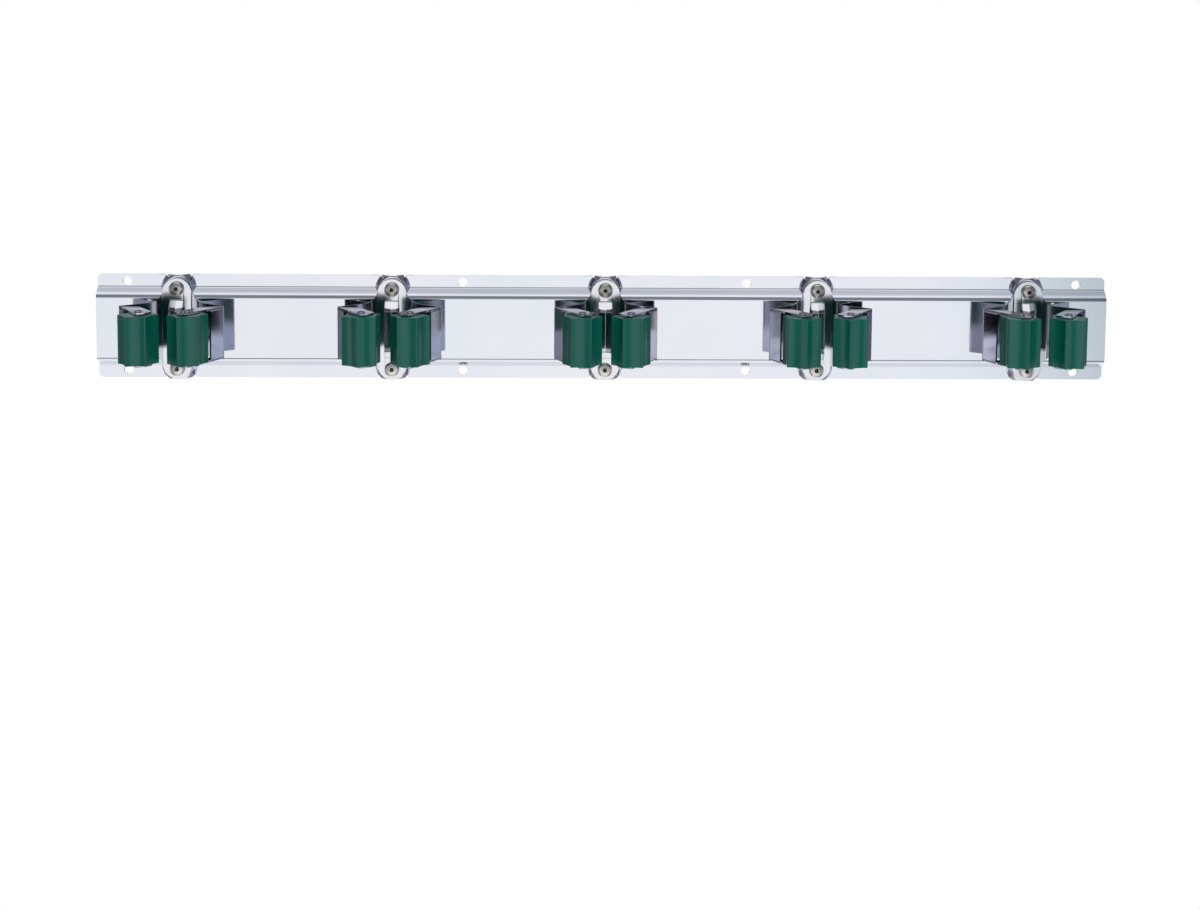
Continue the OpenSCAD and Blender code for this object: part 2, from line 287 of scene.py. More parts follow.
def copy_of(piece, name, x=0.0, y=0.0, z=0.0, turn=0.0, flip=False):
    """A copy with its own mesh, turned about Z, mirrored in X if asked, and moved."""
    twin = piece.copy()
    twin.data = piece.data.copy()
    twin.name = name
    twin.data.name = name
    bpy.context.collection.objects.link(twin)
    place = Matrix.Translation((x * MM, y * MM, z * MM)) @ Matrix.Rotation(math.radians(turn), 4, "Z")
    if flip:
        place = place @ Matrix.Diagonal((-1, 1, 1, 1))
    twin.data.transform(place)
    if flip:
        twin.data.flip_normals()
    return twin


# Bends
def bend_plan(turn, radius, steps=7):
    """How a bend lies on a flat blank: reach to its first line, spacing of its lines, turn at each line."""
    half = math.radians(turn) / 2
    reach = radius * math.tan(half)
    each = turn / (steps + 1)
    spread = sum(math.cos(math.radians(each) * (k - (steps - 1) / 2)) for k in range(steps))
    spacing = 2 * reach * math.cos(half) / spread
    return {"reach": reach, "spacing": spacing, "each": each, "steps": steps,
            "loss": 2 * reach - steps * spacing}


def bend_lines(start, plan):
    return [start + k * plan["spacing"] for k in range(plan["steps"] + 1)]


def bisect(x=None, z=None):
    """Cuts the selected faces along an upright or a level line."""
    upright = x is not None
    bpy.ops.mesh.bisect(plane_co=(x * MM, 0, 0) if upright else (0, 0, z * MM),
                        plane_no=(1, 0, 0) if upright else (0, 0, 1), threshold=0.00001 * MM)


def blank(name, outline):
    """A flat piece of sheet in the plane Y = 0 with the given outline in millimetres."""
    bpy.ops.mesh.primitive_circle_add(vertices=len(outline), radius=MM, fill_type="NGON",
                                      rotation=(math.pi / 2, 0, 0))
    piece = bpy.context.object
    piece.name = name
    done(piece)
    for vertex, (x, z) in zip(piece.data.vertices, outline):
        vertex.co = (x * MM, 0, z * MM)
    return piece


def arc(cx, cy, radius, start, end, steps):
    """Points along an arc, both ends included."""
    return [(cx + radius * math.cos(math.radians(start + (end - start) * i / steps)),
             cy + radius * math.sin(math.radians(start + (end - start) * i / steps)))
            for i in range(steps + 1)]


def fold(piece, flat, test, lines, each, axis, at):
    """Turns all that lies past each line of the flat blank, from the far line to the near one."""
    for line in sorted(lines, reverse=True):
        chosen = [i for i, spot in enumerate(flat) if test(spot, line)]
        bpy.ops.mesh.select_mode(type="VERT")
        bpy.ops.mesh.select_all(action="DESELECT")
        bm = bmesh.from_edit_mesh(piece.data)
        bm.verts.ensure_lookup_table()
        for i in chosen:
            bm.verts[i].select_set(True)
        bm.select_flush_mode()
        bmesh.update_edit_mesh(piece.data)
        x, y, z = at(line)
        bpy.ops.transform.rotate(value=math.radians(each), orient_axis=axis, orient_type="GLOBAL",
                                 center_override=(x * MM, y * MM, z * MM))


# Rail
def sheet_face(path, radii, offset, steps=16):
    """One face of a bent sheet in (height, depth): offset is its distance in front of the middle."""
    points = []
    for i, b in enumerate(path):
        radius = radii[i]
        b = np.array(b)
        if i in (0, len(path) - 1):
            points.append(b + np.array([0, offset]))
            continue
        u = b - np.array(path[i - 1])
        v = np.array(path[i + 1]) - b
        u, v = u / np.linalg.norm(u), v / np.linalg.norm(v)
        turn = math.atan2(u[0] * v[1] - u[1] * v[0], float(u @ v))
        side = math.copysign(1, turn)
        left = np.array([-u[1], u[0]])
        centre = b - radius * math.tan(abs(turn) / 2) * u + side * radius * left
        start = math.atan2(-side * left[1], -side * left[0])
        for k in range(steps + 1):
            angle = start + turn * k / steps
            points.append(centre + (radius - side * offset) * np.array([math.cos(angle), math.sin(angle)]))
    return np.array(points)


STEP_TOP = RAIL_HALF - FLANGE
FIELD_HALF = STEP_TOP - STEP_RISE
RAIL_PATH = [(-RAIL_HALF, RAIL_SHEET / 2), (-STEP_TOP, RAIL_SHEET / 2),
             (-FIELD_HALF, FIELD - RAIL_SHEET / 2), (FIELD_HALF, FIELD - RAIL_SHEET / 2),
             (STEP_TOP, RAIL_SHEET / 2), (RAIL_HALF, RAIL_SHEET / 2)]
BOSS_SLOPE = STEP_DEPTH / (BOSS_FOOT - BOSS_FLAT)
RIVETS = [(clamp_x(n), side * RIVET_Z - DROP) for n in CLAMPS for side in (-1, 1)]


def merged(a, b, blend):
    """The higher of two surfaces, with a fillet where they cross."""
    share = np.clip(0.5 + 0.5 * (a - b) / blend, 0, 1)
    return b + (a - b) * share + blend * share * (1 - share)


def boss_height(distance, flat, level, rim):
    """Height of a pressed boss at a distance from its rivet: a level top, a rounded rim and a cone."""
    half = math.atan(BOSS_SLOPE) / 2
    reach = rim * math.tan(half)
    r = [0.0] + [flat - reach + rim * math.sin(2 * half * k / 8) for k in range(9)]
    h = [level] + [level - rim * (1 - math.cos(2 * half * k / 8)) for k in range(9)]
    r.append(r[-1] + 10)
    h.append(h[-1] - 10 * BOSS_SLOPE)
    return np.interp(distance, r, h)


def rail_face(x, z, front):
    """Depth of the rail's front or back face at each point."""
    points = sheet_face(RAIL_PATH, RAIL_BENDS, (0.5 if front else -0.5) * RAIL_SHEET)
    depth = np.interp(z, points[:, 0], points[:, 1])
    level = FIELD if front else STEP_DEPTH
    back_flat = BOSS_FOOT + RAIL_SHEET / BOSS_SLOPE - BOSS_WALL - STEP_DEPTH / BOSS_SLOPE
    for rx, rz in RIVETS:
        near = np.abs(x - rx) < 15
        distance = np.hypot(x - rx, z - rz)
        boss = boss_height(distance, BOSS_FLAT if front else back_flat, level,
                           BOSS_RIM_FRONT if front else BOSS_RIM_BACK)
        lifted = np.minimum(merged(depth, boss, BOSS_FILLET), level)
        depth = np.where(near & (boss > -3), lifted, depth)
    return depth


def rail_lines():
    """Where the rail's mesh has its columns and rows: close together round the bosses and on the bends."""
    xs = {-RAIL_LENGTH / 2, RAIL_LENGTH / 2}
    for n in CLAMPS:
        side = list(np.arange(0, 5.6, 0.8)) + list(np.arange(5.6, 11.3, FINE)) + [11.8, 12.5, 13.4, 15]
        xs |= {round(clamp_x(n) + s * v, 4) for v in side for s in (-1, 1)}
    fine = list(np.arange(14.2, 34.0, FINE)) + [RAIL_HALF]
    zs = {round(s * v, 4) for v in [0, 5, 10, 12, 13.4] + fine for s in (-1, 1)}
    return sorted(xs), sorted(zs)


def rail_sheet_side(name, front, xs, zs):
    """One face of the rail as a grid whose rows and columns are set in place."""
    bpy.ops.mesh.primitive_grid_add(x_subdivisions=len(xs) - 1, y_subdivisions=len(zs) - 1, size=2,
                                    rotation=(math.pi / 2, 0, 0))
    piece = bpy.context.object
    piece.name = name
    done(piece)
    spots = np.empty(len(piece.data.vertices) * 3)
    piece.data.vertices.foreach_get("co", spots)
    spots = spots.reshape(-1, 3)
    columns = np.rint((spots[:, 0] + 1) / 2 * (len(xs) - 1)).astype(int)
    rows = np.rint((spots[:, 2] + 1) / 2 * (len(zs) - 1)).astype(int)
    x, z = np.array(xs)[columns], np.array(zs)[rows]
    spots = np.stack([x, -rail_face(x, z, front), z], axis=1) * MM
    piece.data.vertices.foreach_set("co", spots.ravel())
    piece.data.update()
    return piece


def notch_tools():
    """Tools for the relief notches beside the bosses, and those that round the flange's corners there."""
    tools, corners = [], []
    for rx, rz in RIVETS:
        up = 1 if rz > 0 else -1
        gap = RAIL_HALF - abs(rz)
        half = math.sqrt(BOSS_FOOT ** 2 - gap ** 2) + NOTCH_SIDE
        for side in (-1, 1):
            near, far = sorted((rx + side * 3.0, rx + side * half))
            low, high = sorted((up * (RAIL_HALF - NOTCH_DEPTH), up * (RAIL_HALF + 2)))
            tool = block("notch_tool", (near, CUT_FRONT, low), (far, CUT_BACK, high))
            cut_with(tool, bar("boss_keep", rx, CUT_MIDDLE, rz, BOSS_FOOT + BOSS_KEEP, CUT_LENGTH, sides=96))
            tools.append(tool)
            corners.append(corner_tool(rx + side * half, up * RAIL_HALF, side, -up, NOTCH_CORNER))
    return tools, corners


def corner_tool(x, z, toward_x, toward_z, radius):
    """A tool that rounds the outer corner of a sheet at (x, z); the sheet lies toward the given sides."""
    over = 0.6
    xa, xb = sorted((x - toward_x * over, x + toward_x * radius))
    za, zb = sorted((z - toward_z * over, z + toward_z * radius))
    tool = block("corner_tool", (xa, CUT_FRONT, za), (xb, CUT_BACK, zb))
    cut_with(tool, bar("corner_keep", x + toward_x * radius, CUT_MIDDLE, z + toward_z * radius,
                       radius, CUT_LENGTH))
    return tool


def make_rail():
    """The wall rail: two faces joined at their edges, then its notches, corners and screw holes cut."""
    xs, zs = rail_lines()
    front = rail_sheet_side("wall_rail_sheet", True, xs, zs)
    back = rail_sheet_side("rail_back", False, xs, zs)
    rail = joined([front, back])
    shape(rail)
    pick("EDGE", lambda edge: edge.is_boundary)
    bpy.ops.mesh.bridge_edge_loops()
    bpy.ops.mesh.select_all(action="SELECT")
    bpy.ops.mesh.normals_make_consistent(inside=False)
    done(rail)
    notches, corners = notch_tools()
    corners += [corner_tool(sx * RAIL_LENGTH / 2, sz * RAIL_HALF, -sx, -sz, CORNER_R)
                for sx in (-1, 1) for sz in (-1, 1)]
    cut_with(rail, joined(notches))
    cut_with(rail, joined(corners))
    holes = [bar("screw_hole", x, -1, z, SCREW_D / 2, 8, sides=40)
             for x in SCREW_X for z in (-SCREW_Z, SCREW_Z)]
    cut_with(rail, joined(holes))
    rounded(rail, RAIL_EDGE_R, 2, 60)
    smooth(rail, 40)
    rail.name = "wall_rail_sheet"
    return rail


# Spring
def make_spring_half():
    """The right half of a spring: a blank with its leaves, folded at the leaves, the corner and the root."""
    leg_angle = math.degrees(math.atan2(CORNER[1] - BEND_D, CORNER[0] - BEND_X))
    panel = (PANEL_FRONT[0] - CORNER[0], PANEL_FRONT[1] - CORNER[1])
    panel_angle = math.degrees(math.atan2(panel[1], panel[0]))
    mid = SPRING_SHEET / 2
    root_at = BEND_X - (BEND_D - mid) / math.tan(math.radians(leg_angle))
    corner_at = root_at + math.hypot(CORNER[0] - root_at, CORNER[1] - mid)
    root = bend_plan(leg_angle, ROOT_BEND_R)
    corner = bend_plan(panel_angle - leg_angle, CORNER_BEND_R)
    lip = bend_plan(90, LIP_BEND_R, 6)
    root_lines = bend_lines(root_at - root["reach"], root)
    corner_lines = bend_lines(corner_at - root["loss"] - corner["reach"], corner)
    shift = corner_at - root["loss"] - corner["loss"]
    panel_end = shift + math.hypot(*panel)
    lip_z = ARM_HALF - mid - lip["reach"]
    lip_lines = bend_lines(lip_z, lip)
    slit = corner_lines[-1] + SLIT_START
    leaf_start = slit + SLIT_WIDTH
    leaf = sheet_face([(leaf_start - shift, LEAF_FOOT), *LEAF, (math.hypot(*panel), LEAF_FOOT)],
                      [LEAF_CORNER_R] * (len(LEAF) + 2), 0, 5)
    leaf = [(shift + s, ARM_HALF - mid + h - lip["loss"]) for s, h in leaf]
    tab = (0, TAB_END - TAB_R)
    fillet = (TAB_R + FLARE_R, ARM_HALF + FLARE_R)
    meet = math.degrees(math.atan2(fillet[1] - tab[1], fillet[0] - tab[0]))
    upper = arc(*tab, TAB_R, 90, meet, 14) + arc(*fillet, FLARE_R, 180 + meet, 270, 14)
    upper += [(slit, ARM_HALF), (slit, lip_z), (leaf_start, lip_z)] + leaf + [(panel_end, lip_z)]
    outline = upper + [(x, -z) for x, z in reversed(upper)]
    piece = blank("spring_right", outline[::-1])
    shape(piece)
    for line in root_lines + corner_lines:
        bpy.ops.mesh.select_all(action="SELECT")
        bisect(x=line)
    bpy.ops.mesh.select_all(action="SELECT")
    bisect(x=leaf_start)
    for line in lip_lines:
        for side in (-1, 1):
            pick("FACE", lambda face: middle(face).x > leaf_start)
            bisect(z=side * line)
    bpy.ops.object.mode_set(mode="OBJECT")
    flat = [tuple(v.co / MM) for v in piece.data.vertices]
    bpy.ops.object.mode_set(mode="EDIT")
    for side in (-1, 1):
        past = lambda spot, line: spot[0] > slit + SLIT_WIDTH / 2 and side * spot[2] > line + ON_LINE
        fold(piece, flat, past, lip_lines, side * lip["each"] * TURN_SIGN, "X",
             lambda line: (0, 0, side * line))
    fold(piece, flat, lambda spot, line: spot[0] > line + ON_LINE,
         corner_lines, -corner["each"] * TURN_SIGN, "Z", lambda line: (line, 0, 0))
    fold(piece, flat, lambda spot, line: spot[0] > line + ON_LINE,
         root_lines, -root["each"] * TURN_SIGN, "Z", lambda line: (line, 0, 0))
    bpy.ops.mesh.select_all(action="SELECT")
    slide(y=-(FIELD + mid))
    done(piece)
    modifier(piece, "SOLIDIFY", thickness=SPRING_SHEET * MM, offset=0.0, use_even_offset=True)
    cut_with(piece, bar("pin_hole", PIN_X, -(FIELD + PIN_D), 0, PIN_R + BORE_PLAY, 60, "Z"))
    rounded(piece, EDGE_R, 2, 50)
    smooth(piece, 35)
    return piece


# Plate and strap
def make_plate():
    """The backing plate: a flat strip with round ends, over the spring's root."""
    outline = arc(0, TAB_END - TAB_R, TAB_R, 0, 180, 28)
    outline += [(-x, -z) for x, z in outline]
    piece = blank("backing_plate", outline)
    modifier(piece, "SOLIDIFY", thickness=PLATE_SHEET * MM, offset=0.0)
    rounded(piece, PLATE_EDGE_R, 3, 50)
    shape(piece)
    bpy.ops.mesh.select_all(action="SELECT")
    slide(y=-(FIELD + SPRING_SHEET + PLATE_SHEET / 2))
    done(piece)
    smooth(piece, 50)
    return piece


def make_strap():
    """The stop strap: a round-ended strip, joggled forward between its riveted feet."""
    inner = RIVET_Z - STRAP_FOOT - STRAP_SLOPE
    angle = math.degrees(math.atan2(STRAP_RISE, STRAP_SLOPE))
    near = bend_plan(angle, STRAP_NEAR_R, 12)
    far = bend_plan(angle, STRAP_FAR_R)
    far_at = inner + math.hypot(STRAP_RISE, STRAP_SLOPE) - near["loss"]
    near_lines = bend_lines(inner - near["reach"], near)
    far_lines = bend_lines(far_at - far["reach"], far)
    end = far_at - far["loss"] + STRAP_FOOT
    outline = arc(0, end, STRAP_HALF, 0, 180, 20)
    outline += [(-x, -z) for x, z in outline]
    piece = blank("stop_strap", outline)
    shape(piece)
    for line in near_lines + far_lines:
        for side in (-1, 1):
            bpy.ops.mesh.select_all(action="SELECT")
            bisect(z=side * line)
    bpy.ops.object.mode_set(mode="OBJECT")
    flat = [tuple(v.co / MM) for v in piece.data.vertices]
    bpy.ops.object.mode_set(mode="EDIT")
    for side in (-1, 1):
        past = lambda spot, line: side * spot[2] > line + ON_LINE
        place = lambda line: (0, 0, side * line)
        fold(piece, flat, past, far_lines, side * far["each"] * TURN_SIGN, "X", place)
        fold(piece, flat, past, near_lines, -side * near["each"] * TURN_SIGN, "X", place)
    for x in STRAP_CREASES:
        bpy.ops.mesh.select_all(action="SELECT")
        bisect(x=x)
    # The middle falls away to both sides of a soft ridge, which dies out along the slopes
    for vertex in bmesh.from_edit_mesh(piece.data).verts:
        x, y, z = vertex.co / MM
        fall = RIDGE_FALL * (math.hypot(x, RIDGE_R) - RIDGE_R)
        vertex.co.y += fall * max(0, 1 - abs(y) / STRAP_RISE) * MM
    bpy.ops.mesh.select_all(action="SELECT")
    slide(y=-(FIELD + PLATE_FRONT + STRAP_SHEET / 2 + STRAP_RISE))
    done(piece)
    modifier(piece, "SOLIDIFY", thickness=STRAP_SHEET * MM, offset=0.0, use_even_offset=True)
    rounded(piece, EDGE_R, 2, 50)
    smooth(piece, 35)
    return piece


# Rollers, rivets and pins
def make_roller():
    """A roller about Z: six hollow flutes between six soft ridges, one ridge straight toward -Y."""
    chord = ROLLER_R * math.sin(math.radians(FLUTE_HALF_ANGLE))
    flute_r = (chord ** 2 + FLUTE_DEPTH ** 2) / (2 * FLUTE_DEPTH)
    away = ROLLER_R * math.cos(math.radians(FLUTE_HALF_ANGLE)) - FLUTE_DEPTH + flute_r
    last = FLUTE_SHARE * math.asin(chord / flute_r)
    flute = []
    for k in range(15):
        angle = last * (k / 7 - 1)
        out, across = away - flute_r * math.cos(angle), flute_r * math.sin(angle)
        flute.append((math.hypot(out, across), math.atan2(across, out)))
    radius, angle = flute[-1]
    ahead, aside = radius * math.cos(math.pi / 6 - angle), radius * math.sin(math.pi / 6 - angle)
    ridge = []
    for k in range(1, 8):
        share = k / 8
        height = ahead + 4 * share * (1 - share) * (ROLLER_R - ahead)
        across = aside * (2 * share - 1)
        ridge.append((math.hypot(height, across), math.pi / 6 + math.atan2(across, height)))
    outline = [(r * math.sin(a + turn), r * math.cos(a + turn))
               for turn in [math.radians(t) for t in range(30, 390, 60)] for r, a in flute + ridge]
    piece = blank("roller", outline)
    modifier(piece, "SOLIDIFY", thickness=2 * ROLLER_HALF * MM, offset=0.0)
    piece.rotation_euler = (math.pi / 2, 0, 0)
    done(piece)
    cut_with(piece, bar("bore_tool", 0, 0, 0, PIN_R + BORE_PLAY, 40, "Z", 32))
    rounded(piece, ROLLER_EDGE_R, 3, 50)
    smooth(piece, 40)
    return piece


def turned(name, points, steps=40):
    """A piece turned on a lathe about Z: points are (radius, height) in millimetres."""
    bpy.ops.mesh.primitive_plane_add(size=MM)
    piece = bpy.context.object
    piece.name = name
    shape(piece)
    bpy.ops.mesh.select_all(action="SELECT")
    bpy.ops.mesh.merge(type="CENTER")
    r, h = points[0]
    slide(x=r, z=h)
    for nr, nh in points[1:]:
        bpy.ops.mesh.extrude_vertices_move(
            TRANSFORM_OT_translate={"value": ((nr - r) * MM, 0, (nh - h) * MM)})
        r, h = nr, nh
    bpy.ops.mesh.select_all(action="SELECT")
    bpy.ops.mesh.spin(steps=steps, angle=2 * math.pi, center=(0, 0, 0), axis=(0, 0, 1))
    bpy.ops.mesh.select_all(action="SELECT")
    bpy.ops.mesh.remove_doubles(threshold=0.002 * MM)
    bpy.ops.mesh.normals_make_consistent(inside=False)
    return done(piece)


def make_rivet():
    """A blind rivet with its head toward -Y, seated at the strap's front."""
    head, hole, ring, high = RIVET_HEAD_R, RIVET_HOLE_R, RIVET_RING_R, RIVET_RISE
    dome = [(ring + (head - ring) * math.sin(math.radians(a)),
             0.35 + (high - 0.45) * math.cos(math.radians(a))) for a in range(10, 91, 10)]
    points = [(0, -1.5), (hole - 0.1, -1.5), (hole, -1.4), (hole, high - 0.15),
              (hole + 0.15, high), (ring - 0.2, high), (ring, high - 0.1)]
    points += dome + [(head - 0.05, 0.1), (head - 0.2, 0), (RIVET_SHANK_R, 0)]
    # The end of the shank, swollen behind the rail
    points += [(RIVET_SHANK_R, -4.9), (3.7, -5.3), (3.75, -7.6), (3.2, -8.3), (2.0, -8.5), (0, -8.5)]
    piece = turned("rivet", points)
    piece.rotation_euler = (math.pi / 2, 0, 0)
    done(piece)
    smooth(piece, 40)
    return piece


def make_mandrel():
    """The broken stub of the rivet's mandrel, deep in its hole."""
    piece = bar("mandrel", 0, STUB_AT, 0, STUB_R, STUB_LENGTH, "Y", 32)
    rounded(piece, STUB_EDGE_R, 3, 50)
    smooth(piece, 50)
    return piece


def make_pin():
    """A roller's axle about Z, with a rounded head at both ends."""
    head, dome = PIN_HEAD_R, PIN_HEAD_RISE - PIN_RIM
    top = [(head * math.sin(math.radians(a)), ARM_HALF + PIN_RIM + dome * math.cos(math.radians(a)))
           for a in range(0, 91, 10)]
    low = [(head * math.sin(math.radians(a)), -ARM_HALF - PIN_RIM + dome * math.cos(math.radians(a)))
           for a in range(90, 181, 10)]
    piece = turned("pin", top + [(head - 0.1, ARM_HALF), (PIN_R, ARM_HALF), (PIN_R, -ARM_HALF),
                                 (head - 0.1, -ARM_HALF)] + low, 32)
    smooth(piece, 40)
    return piece


# Materials
def linear(colour):
    """An sRGB hex colour as linear red, green, blue and full alpha."""
    parts = [int(colour[i:i + 2], 16) / 255 for i in (1, 3, 5)]
    return [p / 12.92 if p <= 0.04045 else ((p + 0.055) / 1.055) ** 2.4 for p in parts] + [1.0]


def add(tree, kind, settings=None, values=None, links=None, stops=()):
    """Adds a node: settings are its own, values go on its sockets, links come from other nodes' sockets.

    Stops fill its colour ramp, each one a place and its red, green and blue in linear light."""
    new = tree.nodes.new(kind)
    while stops and len(new.color_ramp.elements) < len(stops):
        new.color_ramp.elements.new(0.5)
    for i, (place, *colour) in enumerate(stops):
        new.color_ramp.elements[i].position = place
        new.color_ramp.elements[i].color = colour[:3] + [1.0]
    for name, value in (settings or {}).items():
        setattr(new, name, value)
    for name, value in (values or {}).items():
        new.inputs[name].default_value = value
    for name, source in (links or {}).items():
        tree.links.new(source, new.inputs[name])
    return new


def material(name):
    """A new material with its tree and its main shader."""
    mat = bpy.data.materials.new(name)
    mat.use_nodes = True
    tree = mat.node_tree
    return mat, tree, tree.nodes["Principled BSDF"]


def metal(name, colours, rough, grain_rough=0.04, wave=0.01,
          tint_size=60.0, grain_size=2.5, dent_size=22.0):
    """Bright metal: colours drift over it, and a faint unevenness breaks up what it mirrors.

    The sizes are those of its patterns, in millimetres."""
    mat, tree, shader = material(name)
    shader.inputs["Metallic"].default_value = 1.0
    place = add(tree, "ShaderNodeTexCoord").outputs["Object"]
    tint = add(tree, "ShaderNodeTexNoise", links={"Vector": place},
               values={"Scale": 1000 / tint_size, "Detail": 1.0, "Roughness": 0.4})
    drift = add(tree, "ShaderNodeValToRGB", links={"Fac": tint.outputs["Fac"]},
                stops=[(0.35, *linear(colours[0])), (0.65, *linear(colours[1]))])
    tree.links.new(drift.outputs["Color"], shader.inputs["Base Color"])
    spots = add(tree, "ShaderNodeTexNoise", values={"Scale": 1000 / grain_size, "Detail": 2.0},
                links={"Vector": place})
    dull = add(tree, "ShaderNodeMapRange", links={"Value": spots.outputs["Fac"]},
               values={"To Min": rough - grain_rough / 2, "To Max": rough + grain_rough / 2})
    tree.links.new(dull.outputs["Result"], shader.inputs["Roughness"])
    dents = add(tree, "ShaderNodeTexNoise", values={"Scale": 1000 / dent_size, "Detail": 1.0},
                links={"Vector": place})
    bump = add(tree, "ShaderNodeBump", values={"Strength": 1.0, "Distance": wave * MM},
               links={"Height": dents.outputs["Fac"]})
    tree.links.new(bump.outputs["Normal"], shader.inputs["Normal"])
    return mat


def rubber(name, streak_size=0.9, streak_depth=0.02):
    """Moulded EPDM rubber, dark green and satin, with faint upright streaks sized in millimetres."""
    mat, tree, shader = material(name)
    shader.inputs["Base Color"].default_value = linear("#005446")
    shader.inputs["IOR"].default_value = 1.5
    place = add(tree, "ShaderNodeTexCoord").outputs["Object"]
    spread = add(tree, "ShaderNodeMapping", values={"Scale": (1.0, 1.0, 0.06)}, links={"Vector": place})
    streaks = add(tree, "ShaderNodeTexNoise", values={"Scale": 1000 / streak_size, "Detail": 2.0},
                  links={"Vector": spread.outputs["Vector"]})
    dull = add(tree, "ShaderNodeMapRange", values={"To Min": 0.20, "To Max": 0.28},
               links={"Value": streaks.outputs["Fac"]})
    tree.links.new(dull.outputs["Result"], shader.inputs["Roughness"])
    bump = add(tree, "ShaderNodeBump", values={"Strength": 1.0, "Distance": streak_depth * MM},
               links={"Height": streaks.outputs["Fac"]})
    tree.links.new(bump.outputs["Normal"], shader.inputs["Normal"])
    return mat


# Bright zinc plating on smooth pressed sheet: a pale blue-white mirror that drifts a little in tint
zinc_rail = metal("bright_zinc_plated_steel", ("#E5E9EF", "#EBEBF1"), 0.08, 0.02)
# Zinc on hard spring strip: greyer than the rail, and it still mirrors what is near
spring_zinc = metal("zinc_plated_spring_steel", ("#C3CBD0", "#D0CCD6"), 0.12)
# Bright zinc on small punched strips: the lightest metal, with clear reflections of the rollers
bright_zinc = metal("bright_zinc_plated_strip", ("#E4E8EA", "#ECEAEE"), 0.13)
# Nickel-plated blind rivets: warmer and softer, so the domes shade in broad rings
rivet_metal = metal("nickel_plated_rivet", ("#E4E0D8", "#EBE8E2"), 0.30)
# Plated steel axles, rolled over at both ends: small bright domes
pin_steel = metal("plated_pin_steel", ("#C3C6CA", "#CFCBD2"), 0.18)
# Broken mandrel steel deep in a rivet: its dark, dull colour is partly the bare steel and partly painted
# shade, so the hole looks dark
stub_steel_and_shade = metal("mandrel_steel_and_painted_shade", ("#4A423B", "#57504A"), 0.45)
# Moulded rubber: deep green with soft, upright highlights along the flutes
green_rubber = rubber("green_moulded_rubber")


def finish(piece, mat):
    """Gives a piece its material and slot, and keeps its flats flat beside their rounded edges."""
    modifier(piece, "WEIGHTED_NORMAL", keep_sharp=True, weight=80)
    piece.data.materials.clear()
    piece.data.materials.append(mat)
    return piece


# The rack
rail = finish(make_rail(), zinc_rail)
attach(rail, "rack")
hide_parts("wall_rail")

spring = make_spring_half()
plate = make_plate()
strap = make_strap()
roller = make_roller()
rivet = make_rivet()
mandrel = make_mandrel()
pin = make_pin()

rivets = []
stubs = []
for n in CLAMPS:
    x = clamp_x(n)
    piece = finish(copy_of(plate, f"plate_{n}", x=x, z=-DROP), bright_zinc)
    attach(piece, "rack")
    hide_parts(f"backing_plate_{n}")
    piece = finish(copy_of(strap, f"strap_{n}", x=x, z=-DROP), bright_zinc)
    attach(piece, "rack")
    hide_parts(f"stop_strap_{n}")
    rivets += [copy_of(rivet, f"rivet_{n}", x=x, y=-(FIELD + HEAD_SEAT), z=side * RIVET_Z - DROP)
               for side in (-1, 1)]
    stubs += [copy_of(mandrel, f"mandrel_{n}", x=x, y=-(FIELD + HEAD_SEAT), z=side * RIVET_Z - DROP)
              for side in (-1, 1)]
    for side, word in ((-1, "left"), (1, "right")):
        piece = finish(copy_of(spring, f"{word}_spring_{n}", x=x, z=-DROP, flip=side < 0),
                       spring_zinc)
        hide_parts(f"spring_root_{n}", f"{word}_arm_{n}")
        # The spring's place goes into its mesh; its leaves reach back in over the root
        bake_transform(piece)
        turn = TURNS[n - 1][0 if side < 0 else 1]
        piece = finish(copy_of(roller, f"{word}_fluted_roller_{n}", x=x + side * PIN_X, y=-(FIELD + PIN_D),
                               z=-DROP, turn=turn), green_rubber)
        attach(piece, f"{word}_grip_{n}")
        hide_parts(f"{word}_roller_{n}")
        piece = finish(copy_of(pin, f"{word}_roller_pin_{n}", x=x + side * PIN_X, y=-(FIELD + PIN_D),
                               z=-DROP), pin_steel)
        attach(piece, f"{word}_jaw_{n}")
        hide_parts(f"{word}_pin_{n}")
heads = finish(joined(rivets), rivet_metal)
heads.name = "rivet_set"
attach(heads, "rack")
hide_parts("blind_rivets")
# The stubs' dark material is partly painted shade for the deep rivet holes
ends = finish(joined(stubs), stub_steel_and_shade)
ends.name = "mandrel_stub_set"
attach(ends, "rack")
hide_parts("blind_rivets")
for piece in (spring, plate, strap, roller, rivet, mandrel, pin):
    bpy.data.objects.remove(piece)

# Camera
scene = bpy.context.scene
lens = bpy.data.cameras.new("camera")
lens.lens = FILM * FOCAL / PHOTO_WIDTH
lens.sensor_width = FILM
lens.shift_y = -VIEW_SHIFT / PHOTO_WIDTH
camera = bpy.data.objects.new("camera", lens)
camera.location = [p * MM for p in CAMERA_PLACE]
camera.rotation_euler = [math.radians(a) for a in CAMERA_TURN]
scene.collection.objects.link(camera)
scene.camera = camera


def seen_directly(tree, path):
    """1 where the camera looks straight at a surface or through glass, and 0 elsewhere."""
    return add(tree, "ShaderNodeMath", {"operation": "MAXIMUM"},
               links={0: path.outputs["Is Camera Ray"], 1: path.outputs["Is Transmission Ray"]}).outputs[0]


# Studio round the rack: white where the camera sees it, a plain light, and what the plating mirrors
world = bpy.data.worlds.new("studio")
scene.world = world
world.use_nodes = True
tree = world.node_tree
tree.nodes.clear()
path = add(tree, "ShaderNodeLightPath")
seen = seen_directly(tree, path)
